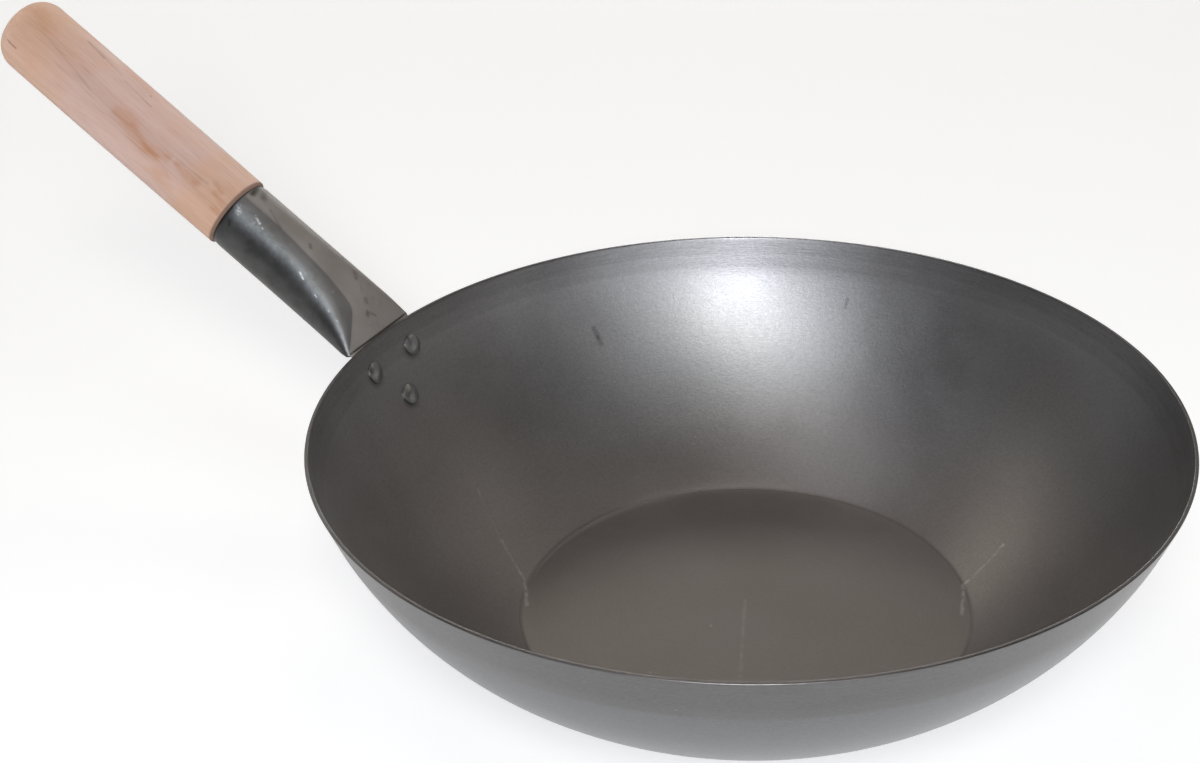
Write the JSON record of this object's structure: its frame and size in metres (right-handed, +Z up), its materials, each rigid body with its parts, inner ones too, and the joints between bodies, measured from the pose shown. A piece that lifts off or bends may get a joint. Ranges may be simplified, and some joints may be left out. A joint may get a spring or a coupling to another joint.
{
  "type": "wok",
  "caption": "Flat-bottomed pressed steel wok with a rolled steel handle socket riveted behind its rim and a turned wood grip.",
  "frame": {"origin": "centre of the base's underside, where the wok rests on the stove", "axes": "+Z up, square to the base; the handle leaves the bowl along -X and rises; +Y completes the right-handed frame"},
  "size_m": [0.5365, 0.3496, 0.2148],
  "materials": {
    "bowl_steel": "plain carbon steel, finely brushed, lightly oiled",
    "socket_steel": "plain rolled steel sheet, lightly oiled, specks of rust",
    "rivet_steel": "hammered plain steel",
    "grip_wood": "bare turned wood, fine lengthwise grain"
  },
  "bodies": {
    "root": {"wok_bowl": "bowl_steel", "handle_socket": "socket_steel", "wood_grip": "grip_wood", "grip_nail": "rivet_steel", "rivet_left": "rivet_steel", "rivet_right": "rivet_steel", "rivet_lower": "rivet_steel"}
  },
  "joints": []
}
